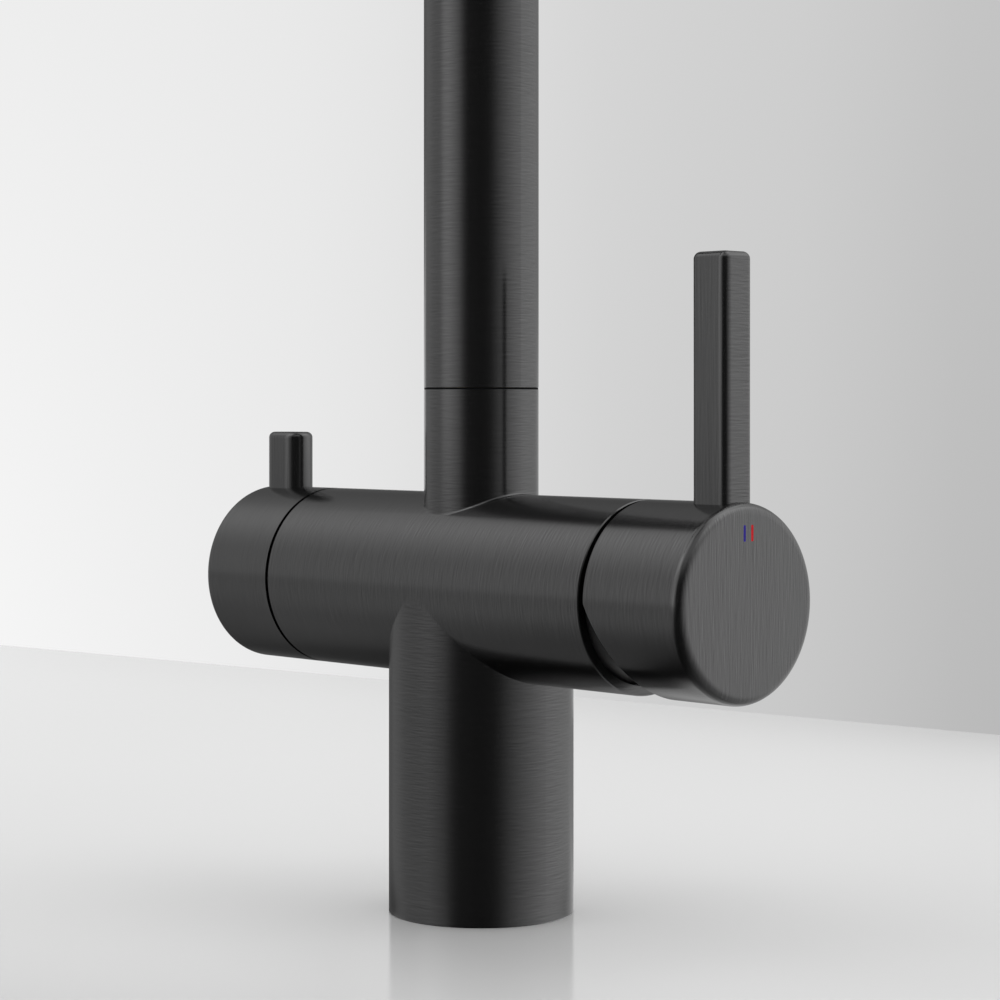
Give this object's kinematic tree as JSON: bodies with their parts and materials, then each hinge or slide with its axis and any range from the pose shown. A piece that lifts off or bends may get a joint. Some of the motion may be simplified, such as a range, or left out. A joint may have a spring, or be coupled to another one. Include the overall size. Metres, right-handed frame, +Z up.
{
  "type": "kitchen mixer tap",
  "caption": "Pull-out kitchen mixer tap with a round column, a crossbar that carries a lever handle and a filtered water valve, and a swivelling L-shaped spout.",
  "frame": {"origin": "centre of the column's foot, on the worktop", "axes": "+Z up along the column, +X along the crossbar to the mixer handle, -Y towards the sink and the water outlet"},
  "size_m": [0.1864, 0.25, 0.4225],
  "materials": {
    "brushed_anthracite": "dark anthracite coated stainless steel, brushed, satin",
    "black_plastic": "black moulded plastic",
    "white_plastic": "natural acetal plastic",
    "rubber": "black rubber",
    "brass": "turned brass",
    "steel": "plain stainless steel",
    "ceramic": "polished white ceramic"
  },
  "bodies": {
    "tap_body": {"column_tube": "brushed_anthracite", "body_casting": "brushed_anthracite", "neck_tube": "brushed_anthracite", "base_seal": "rubber", "mounting_shank": "brass", "deck_washer_rubber": "rubber", "deck_washer_steel": "steel", "mounting_nut": "brass", "clamp_screws": "steel", "slip_ring": "black_plastic", "spout_retaining_screw": "steel", "cartridge_housing": "white_plastic", "cartridge_seals": "rubber", "cartridge_fixed_disc": "ceramic", "cartridge_nut": "brass", "cartridge_dome": "black_plastic", "valve_housing": "brass", "valve_seal": "rubber", "valve_fixed_disc": "ceramic", "inlet_tails": "brass"},
    "spout": {"spout_tube": "brushed_anthracite", "swivel_sleeve": "brass", "glide_ring_lower": "white_plastic", "glide_ring_upper": "white_plastic", "docking_bush": "black_plastic"},
    "nozzle": {"nozzle_shell": "brushed_anthracite", "nozzle_core": "white_plastic", "hose_nipple": "brass", "check_valve": "black_plastic", "aerator_ring": "brushed_anthracite", "aerator_insert": "white_plastic", "aerator_seal": "rubber"},
    "cartridge_turn": {"cartridge_carrier": "black_plastic", "cartridge_pivot_pin": "steel"},
    "cartridge_slide": {"cartridge_moving_disc": "ceramic", "disc_driver": "white_plastic"},
    "mixer_handle": {"cartridge_stem": "steel", "lever_handle": "brushed_anthracite", "lever_bar": "brushed_anthracite", "handle_grub_screw": "steel"},
    "filter_handle": {"valve_spindle": "brass", "valve_moving_disc": "ceramic", "valve_handle": "brushed_anthracite", "valve_lever": "brushed_anthracite", "valve_grub_screw": "steel"}
  },
  "joints": [
    {"name": "spout_swivel", "type": "hinge", "parent": "tap_body", "child": "spout", "pos_m": [0, 0, 0.1413], "axis": [0, 0, 1], "range_deg": [-75, 75]},
    {"name": "nozzle_pull", "type": "slide", "parent": "spout", "child": "nozzle", "axis": [0, -1, 0], "range_m": [0, 0.5]},
    {"name": "mixer_temperature", "type": "hinge", "parent": "tap_body", "child": "cartridge_turn", "pos_m": [0.05, 0, 0.088], "axis": [1, 0, 0], "range_deg": [-45, 45]},
    {"name": "mixer_tilt", "type": "hinge", "parent": "cartridge_turn", "child": "mixer_handle", "pos_m": [0.05, 0, 0.088], "axis": [0, 1, 0], "range_deg": [0, 24]},
    {"name": "disc_slide", "type": "slide", "parent": "cartridge_turn", "child": "cartridge_slide", "axis": [0, 0, 1], "range_m": [0, 0.0039]},
    {"name": "filter_turn", "type": "hinge", "parent": "tap_body", "child": "filter_handle", "pos_m": [-0.062, 0, 0.088], "axis": [1, 0, 0], "range_deg": [0, 90]}
  ],
  "couplings": [
    {"joint": "disc_slide", "follows": "mixer_tilt", "m_per_rad": 0.009225}
  ]
}
